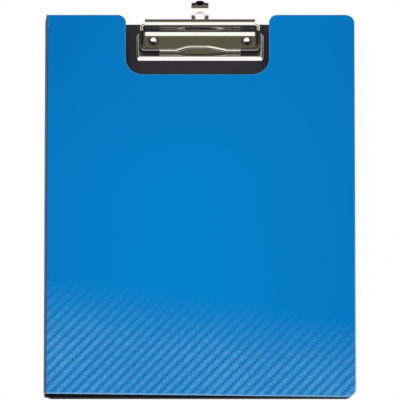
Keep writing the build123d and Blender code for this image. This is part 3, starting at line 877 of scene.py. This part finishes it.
def rounded_end(u, half, radius, steps):
    """Rows of distance and half width that draw a strip in round a quarter circle up to u."""
    rows = []
    for i in range(1, steps + 1):
        turn = math.pi / 2 * i / steps
        rows.append((u - radius * (1 - math.sin(turn)), half - radius * (1 - math.cos(turn))))
    return rows


def hanger_rows(length):
    """Rows of distance and half width, those before the hole's field and those after it."""
    hole = HANGER_HOLE_Y - HANGER_START_Y
    before = [(u, HANGER_STOP_HALF) for u in (0.0, 0.5, HANGER_STOP_LENGTH - 0.3)]
    before += [(HANGER_STOP_LENGTH, HANGER_HALF), (hole - HOLE_FIELD_HALF, HANGER_HALF)]
    start = hole + HOLE_FIELD_HALF
    shoulder = length - TAB_LENGTH + SHOULDER
    straight = shoulder - SHOULDER_RADIUS - start
    after = [(start + straight * i / 14, HANGER_HALF) for i in range(15)]
    after += rounded_end(shoulder, HANGER_HALF, SHOULDER_RADIUS, 6)
    after.append((shoulder + 0.02, TAB_HALF))
    after.append((max(length - TAB_RADIUS, shoulder + 0.04), TAB_HALF))
    after += rounded_end(length, TAB_HALF, TAB_RADIUS, 8)
    after = [row for i, row in enumerate(after) if i == 0 or row[0] > after[i - 1][0] + 1e-4]
    return before, after


def hole_field():
    """Points of X, distance and sink, from the hole's rolled edge out to the rectangle round it."""
    hole = HANGER_HOLE_Y - HANGER_START_Y
    low = hole - HOLE_FIELD_HALF
    high = hole + HOLE_FIELD_HALF
    corners = ((-HANGER_HALF, low), (HANGER_HALF, low), (HANGER_HALF, high), (-HANGER_HALF, high))
    border = []
    for (x, u), (next_x, next_u) in sides_of(corners):
        for i in range(HANGER_COLUMNS):
            share = i / HANGER_COLUMNS
            border.append((x + (next_x - x) * share, u + (next_u - u) * share))
    points = []
    for share, wider, sink in HOLE_RINGS:
        for x, u in border:
            angle = math.atan2(u - hole, x)
            edge_x = (HANGER_HOLE_RADIUS + wider) * math.cos(angle)
            edge_u = hole + (HANGER_HOLE_RADIUS + wider) * math.sin(angle)
            points.append((edge_x + (x - edge_x) * share, edge_u + (u - edge_u) * share, sink))
    return points


def merged(vertices, faces, reach=0.002):
    """A mesh whose vertices within a reach of each other are joined."""
    mesh = bmesh.new()
    corners = [mesh.verts.new(vertex) for vertex in vertices]
    for face in faces:
        mesh.faces.new([corners[i] for i in face])
    bmesh.ops.remove_doubles(mesh, verts=mesh.verts, dist=reach)
    mesh.verts.index_update()
    vertices = [tuple(vertex.co) for vertex in mesh.verts]
    faces = [tuple(vertex.index for vertex in face.verts) for face in mesh.faces]
    mesh.free()
    return vertices, faces


def hanger_strip():
    """The strip laid out flat, bent along its path and thickened."""
    path = hanger_path()
    length = sum((b - a).length for a, b in zip(path, path[1:]))
    flat = []
    faces = []
    row_count = HANGER_COLUMNS + 1
    for rows in hanger_rows(length):
        for k, (u, half) in enumerate(rows):
            if k:
                faces += bridge(len(flat) - row_count, len(flat), row_count, closed=False)
            flat += [(half * (2 * i / HANGER_COLUMNS - 1), u, 0.0) for i in range(row_count)]
    first = len(flat)
    flat += hole_field()
    around = 4 * HANGER_COLUMNS
    for k in range(1, len(HOLE_RINGS)):
        faces += bridge(first + k * around, first + (k - 1) * around, around)
    vertices = []
    for x, u, sink in flat:
        point, way = along_path(path, u)
        over = Vector((1, 0, 0)).cross(way)
        vertices.append(point + Vector((x, 0, 0)) + over * (HANGER_SHEET / 2 - sink))
    vertices, faces = merged(vertices, faces)
    add_piece("hanger_strip", vertices, faces, HANGER_NICKEL, "hanger", ["hanger"], "hanger_metal",
              sheet=HANGER_SHEET, bevel=0.3, sharp=50.0, even=False)


# Cover, its lining and its pocket: thin sheets whose free lower corner sags a little

COVER_LEFT = -114.5
COVER_RIGHT = 116.3
COVER_TOP = 160.6
COVER_BOTTOM = -160.4
COVER_CORNER_RADIUS = 7.0
NOTCH_LEFT = -55.75
NOTCH_RIGHT = 51.95
NOTCH_FLOOR = 109.7
NOTCH_MOUTH_RADIUS = 6.5
NOTCH_FLOOR_RADIUS = 13.3
SAG = 5.9
CUT_SPACING = 12.0
POCKET_INSET = 6.0
POCKET_RADIUS = 5.0
POCKET_RIGHT_HEIGHT = 105.0
POCKET_LEFT_HEIGHT = 150.0
POCKET_SEAM = 4.0

# Outlines of the sheets from below: inset, height, and how much painted highlight the rim gets there
COVER_LEVELS = ((0.12, 13.0, 1.0), (0.0, 13.12, 1.0), (0.0, 13.55, 1.0), (0.06, 13.78, 1.0),
                (0.2, 13.94, 0.9), (0.45, 14.0, 0.8), (1.0, 14.0, 0.0))
LINING_LEVELS = ((0.5, 12.5, 0.0), (0.4, 12.6, 0.0), (0.4, 12.99, 0.0))
POCKET_LEVELS = ((0.0, 11.9, 0.0), (0.0, 12.2, 0.0))
WELD_LEVELS = ((0.1, 12.2, 0.0), (0.1, 12.49, 0.0))


def sag(x, y):
    """How far a point of the cover hangs down, growing towards the free lower corner."""
    across = max(0.0, (x - COVER_LEFT) / (COVER_RIGHT - COVER_LEFT))
    down = max(0.0, (COVER_TOP - y) / (COVER_TOP - COVER_BOTTOM))
    return SAG * across * down ** 2


def rounded_loop(corners, step=9.0):
    """A closed loop in the plane from corners given as X, Y and radius."""
    points = [(x, y, 0) for x, y, _ in corners]
    loop = []
    for i, (x, y, radius) in enumerate(corners):
        if radius:
            near = [points[i - 1], points[i], points[(i + 1) % len(points)]]
            loop += [(point.x, point.y) for point in rounded_route(near, [radius], step)[1:-1]]
        else:
            loop.append((x, y))
    return loop


def cover_loop(inset):
    """The cover's outline with its notch for the clip."""
    right = COVER_RIGHT - inset
    top = COVER_TOP - inset
    bottom = COVER_BOTTOM + inset
    floor = NOTCH_FLOOR - inset
    corner = COVER_CORNER_RADIUS - inset
    mouth = NOTCH_MOUTH_RADIUS - inset
    hollow = NOTCH_FLOOR_RADIUS + inset
    notch = [(NOTCH_RIGHT + inset, top, mouth), (NOTCH_RIGHT + inset, floor, hollow),
             (NOTCH_LEFT - inset, floor, hollow), (NOTCH_LEFT - inset, top, mouth)]
    return rounded_loop([(COVER_LEFT, bottom, 0), (right, bottom, corner), (right, top, corner), *notch,
                         (COVER_LEFT, top, 0)])


def pocket_loop(inset):
    """The pocket's outline: its mouth slants down from the spine to the free edge."""
    left = COVER_LEFT + POCKET_INSET + inset
    right = COVER_RIGHT - POCKET_INSET - inset
    bottom = COVER_BOTTOM + POCKET_INSET + inset
    return rounded_loop([(left, bottom, POCKET_RADIUS), (right, bottom, POCKET_RADIUS),
                         (right, COVER_BOTTOM + POCKET_RIGHT_HEIGHT, 0),
                         (left, COVER_BOTTOM + POCKET_LEFT_HEIGHT, 0)])


def cut_mesh(mesh, place, way):
    """New edges where a plane crosses a mesh."""
    whole = mesh.verts[:] + mesh.edges[:] + mesh.faces[:]
    bmesh.ops.bisect_plane(mesh, geom=whole, plane_co=place, plane_no=way)


def cut_seam(mesh, seam):
    """Leaves only a band of a pocket's width along its sides and its lower edge."""
    left = COVER_LEFT + POCKET_INSET + seam
    right = COVER_RIGHT - POCKET_INSET - seam
    bottom = COVER_BOTTOM + POCKET_INSET + seam
    for x in (left, right):
        cut_mesh(mesh, (x, 0, 0), (1, 0, 0))
    cut_mesh(mesh, (0, bottom, 0), (0, 1, 0))
    centres = [(face, face.calc_center_median()) for face in mesh.faces]
    middle = [face for face, centre in centres if left < centre.x < right and centre.y > bottom]
    bmesh.ops.delete(mesh, geom=middle, context="FACES")


def stacked_sheet(mesh, loop, levels):
    """Walls between a sheet's outlines, with flat caps; the rim attribute sets how much painted highlight
    its edge gets.
    """
    rim = mesh.verts.layers.float.new("rim")
    layers = []
    for inset, z, edge_wear_and_highlight in levels:
        layers.append([mesh.verts.new((x, y, z)) for x, y in loop(inset)])
        for corner in layers[-1]:
            corner[rim] = edge_wear_and_highlight
    for lower, upper in zip(layers, layers[1:]):
        for (a, b), (c, d) in zip(sides_of(lower), sides_of(upper)):
            mesh.faces.new((a, b, d, c))
    for layer, up in ((layers[-1], 1), (layers[0], -1)):
        edges = [mesh.edges.get(side) or mesh.edges.new(side) for side in sides_of(layer)]
        made = bmesh.ops.triangle_fill(mesh, use_beauty=True, use_dissolve=True, edges=edges,
                                       normal=(0, 0, up))
        for face in [g for g in made["geom"] if isinstance(g, bmesh.types.BMFace)]:
            face.normal_update()
            if face.normal.z * up < 0:
                face.normal_flip()


def sheet_piece(name, loop, levels, material, nodes, seam=0.0):
    """A thin sheet, cut into a field of small faces and let sag; a seam keeps only its band."""
    mesh = bmesh.new()
    stacked_sheet(mesh, loop, levels)
    for i in range(1, math.ceil((COVER_RIGHT - COVER_LEFT) / CUT_SPACING)):
        cut_mesh(mesh, (COVER_LEFT + i * CUT_SPACING, 0, 0), (1, 0, 0))
    for i in range(1, math.ceil((COVER_TOP - COVER_BOTTOM) / CUT_SPACING)):
        cut_mesh(mesh, (0, COVER_BOTTOM + i * CUT_SPACING, 0), (0, 1, 0))
    if seam:
        cut_seam(mesh, seam)
    for vertex in mesh.verts:
        vertex.co.z -= sag(vertex.co.x, vertex.co.y)
        vertex.co *= MM
    data = bpy.data.meshes.new(name)
    mesh.to_mesh(data)
    mesh.free()
    piece = smooth_object(name, data, material, 50.0)
    weigh_normals(piece)
    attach(piece, "cover")
    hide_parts(*nodes)


def cover_sheets():
    sheet_piece("cover_sheet", cover_loop, COVER_LEVELS, COVER_BLUE, ["front_cover"])
    sheet_piece("lining_sheet", cover_loop, LINING_LEVELS, LINING_BLACK, ["cover_lining"])
    sheet_piece("pocket_sheet", pocket_loop, POCKET_LEVELS, FILM, ["inner_pocket"])
    sheet_piece("pocket_weld", pocket_loop, WELD_LEVELS, FILM, ["inner_pocket"],
                POCKET_SEAM)


# Board, and the thin web that closes its fold

WEB_PLAN = ((-115.6, -156.75), (-113.9, -157.35), (-113.9, 157.35), (-115.6, 156.75))
WEB_LOW_Z = 0.1
WEB_HIGH_Z = 2.0


def board_and_web():
    drawn = NODES["back_board"]
    board = bpy.data.objects.new("board_plate", drawn.data.copy())
    board.matrix_world = drawn.matrix_world.copy()
    bpy.context.scene.collection.objects.link(board)
    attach(board, "board")
    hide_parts("back_board")
    vertices = [(x, y, z) for z in (WEB_LOW_Z, WEB_HIGH_Z) for x, y in WEB_PLAN]
    faces = bridge(0, 4, 4) + [(3, 2, 1, 0), (4, 5, 6, 7)]
    add_piece("fold_web", vertices, faces, BOARD_BLACK, "board", ["back_board"], "board_plastic")


# Studio

PANEL_LOW = 42.0
PANEL_HIGH = 104.0
PANEL_WHITE = (1.14, 1.13, 1.11, 1.0)
WHITE = (1.0, 1.0, 1.0, 1.0)
FLOOR_HALF = 3.0
FLOOR_Z = -0.2 * MM
FLOOR_GLOW = 0.965
KEY_PLACE = Vector((-0.9, -0.5, 1.8))
KEY_SIZE = 0.9
KEY_POWER = 14.0


def reflected_room(nodes, direction):
    """What polished metal mirrors: a soft box overhead in a dark room whose rear is pale at its sides."""
    x, y, z = nodes.split(direction)

    # The angle round the width axis, from the lower edge's side over the top to the rear
    tilt = nodes.math("DEGREES", nodes.math("ARCTAN2", z, nodes.times(y, -1.0)))
    rises = nodes.ramp(tilt, PANEL_LOW - 4.0, PANEL_LOW + 4.0)
    falls = nodes.ramp(tilt, PANEL_HIGH - 6.0, PANEL_HIGH + 6.0, 1.0, 0.0)
    sides = nodes.ramp(nodes.math("ABSOLUTE", x), 0.72, 0.9, 1.0, 0.1)
    panel = nodes.times(nodes.times(rises, falls), sides)
    dark = nodes.mix(nodes.ramp(tilt, 112.0, 180.0), srgb(96, 90, 75), srgb(90, 86, 76))
    dark = nodes.mix(nodes.ramp(tilt, 25.0, 60.0, 1.0, 0.0), dark, srgb(44, 40, 34))
    behind = nodes.ramp(tilt, 100.0, 116.0)
    right = nodes.times(nodes.ramp(x, 0.14, 0.3), behind)
    left = nodes.times(nodes.ramp(x, -0.3, -0.5), behind)
    dark = nodes.mix(right, dark, srgb(240, 234, 216))
    dark = nodes.mix(left, dark, srgb(168, 170, 148))
    return nodes.mix(panel, dark, PANEL_WHITE)


def make_world():
    """White behind the object, even light on it, and a soft box for its polished metal."""
    world = bpy.data.worlds.new("studio")
    world.use_nodes = True
    bpy.context.scene.world = world
    nodes = Nodes(world.node_tree)
    output = nodes.add("ShaderNodeOutputWorld")
    room = reflected_room(nodes, nodes.add("ShaderNodeTexCoord").outputs["Generated"])
    glossy = nodes.add("ShaderNodeBackground", {"Color": room})
    fill = nodes.add("ShaderNodeBackground", {"Color": WHITE, "Strength": 0.75})
    white = nodes.add("ShaderNodeBackground", {"Color": WHITE})
    path = nodes.add("ShaderNodeLightPath")
    lit = nodes.add("ShaderNodeMixShader", {0: path.outputs["Is Glossy Ray"], 1: fill, 2: glossy})
    seen = nodes.add("ShaderNodeMixShader", {0: path.outputs["Is Camera Ray"], 1: lit, 2: white})
    nodes.feed(output.inputs[0], seen)


def make_floor():
    """A pale table top that reads white and keeps a faint shadow."""
    material, nodes, shader = new_material("table_white")
    output = nodes.tree.nodes["Material Output"]
    shader.inputs["Base Color"].default_value = (0.9, 0.9, 0.9, 1.0)
    shader.inputs["Roughness"].default_value = 0.9
    shader.inputs["Specular IOR Level"].default_value = 0.0
    glow = nodes.add("ShaderNodeEmission", {"Color": WHITE})
    path = nodes.add("ShaderNodeLightPath")
    seen = nodes.math("MAXIMUM", path.outputs["Is Camera Ray"], path.outputs["Is Transmission Ray"])
    seen = nodes.math("MAXIMUM", seen, path.outputs["Is Glossy Ray"])
    mixed = nodes.add("ShaderNodeMixShader", {0: nodes.times(seen, FLOOR_GLOW), 1: shader, 2: glow})
    nodes.feed(output.inputs[0], mixed)
    mesh = bpy.data.meshes.new("table")
    corners = [(x * FLOOR_HALF, y * FLOOR_HALF, FLOOR_Z) for x, y in ((-1, -1), (1, -1), (1, 1), (-1, 1))]
    mesh.from_pydata(corners, [], [(0, 1, 2, 3)])
    mesh.materials.append(material)
    table = bpy.data.objects.new("table", mesh)
    bpy.context.scene.collection.objects.link(table)


def key_light():
    """A soft lamp from the upper left that polished metal doesn't mirror."""
    data = bpy.data.lights.new("key", "AREA")
    data.shape = "DISK"
    data.size = KEY_SIZE
    data.energy = KEY_POWER
    lamp = bpy.data.objects.new("key", data)
    lamp.location = KEY_PLACE
    lamp.rotation_euler = (-KEY_PLACE).to_track_quat("-Z", "Y").to_euler()
    bpy.context.scene.collection.objects.link(lamp)
    lamp.visible_glossy = False


# Everything together: the materials, the CAD nodes' finishes, the pieces and the studio

BOARD_BLACK = plastic("board_black", srgb(24, 22, 29), srgb(40, 38, 48), 0.5, 2200.0, 0.06)
# Painted sheen: the spine's black plastic is given a slate-blue colour for the sheen on its fold
SPINE_BLACK = plastic("spine_black", srgb(38, 48, 74), srgb(80, 96, 136), 0.42, 2200.0, 0.06)
LINING_BLACK = plastic("lining_black", srgb(28, 29, 33), srgb(46, 47, 52), 0.55, 1800.0, 0.06)
GUARD_BLACK = guard_black()
COVER_BLUE = cover_blue()
NICKEL = bright_nickel("nickel_plate", srgb(238, 237, 233))
# Painted shade: near-black nickel for the dimples' cups
DIMPLE_SHADE_NICKEL = bright_nickel("nickel_crevice", srgb(46, 43, 38), 0.35)
RIVET_NICKEL = rivet_nickel()
HANGER_NICKEL = hanger_nickel()
# The wire's underside is darkened with painted shade
WIRE_NICKEL = bright_nickel("nickel_wire", srgb(242, 240, 232), under_shade=0.9)
WASHER_ZINC = bright_nickel("zinc_washer", srgb(190, 192, 196), 0.3)
FILM = clear_film()

FINISHES = {
    "back_board": BOARD_BLACK,
    "spine_strip": SPINE_BLACK,
    "front_cover": COVER_BLUE,
    "cover_lining": LINING_BLACK,
    "inner_pocket": FILM,
    "clip_base_plate": NICKEL,
    "rivets": RIVET_NICKEL,
    "rivet_washers": WASHER_ZINC,
    "wire_bail": WIRE_NICKEL,
    "corner_guard_left": GUARD_BLACK,
    "corner_guard_right": GUARD_BLACK,
    "hanger": HANGER_NICKEL,
}

for node, finish in FINISHES.items():
    NODES[node].data.materials.clear()
    NODES[node].data.materials.append(finish)

board_and_web()
clip_pan()
clip_dimples()
clip_ridge()
ridge_cheeks()
rivet_pair()
washer_pair()
wire_bail()
corner_guard(-1, "corner_guard_left")
corner_guard(1, "corner_guard_right")
hanger_strip()
cover_sheets()

make_world()
make_floor()
key_light()

bpy.context.scene.view_settings.view_transform = "Standard"
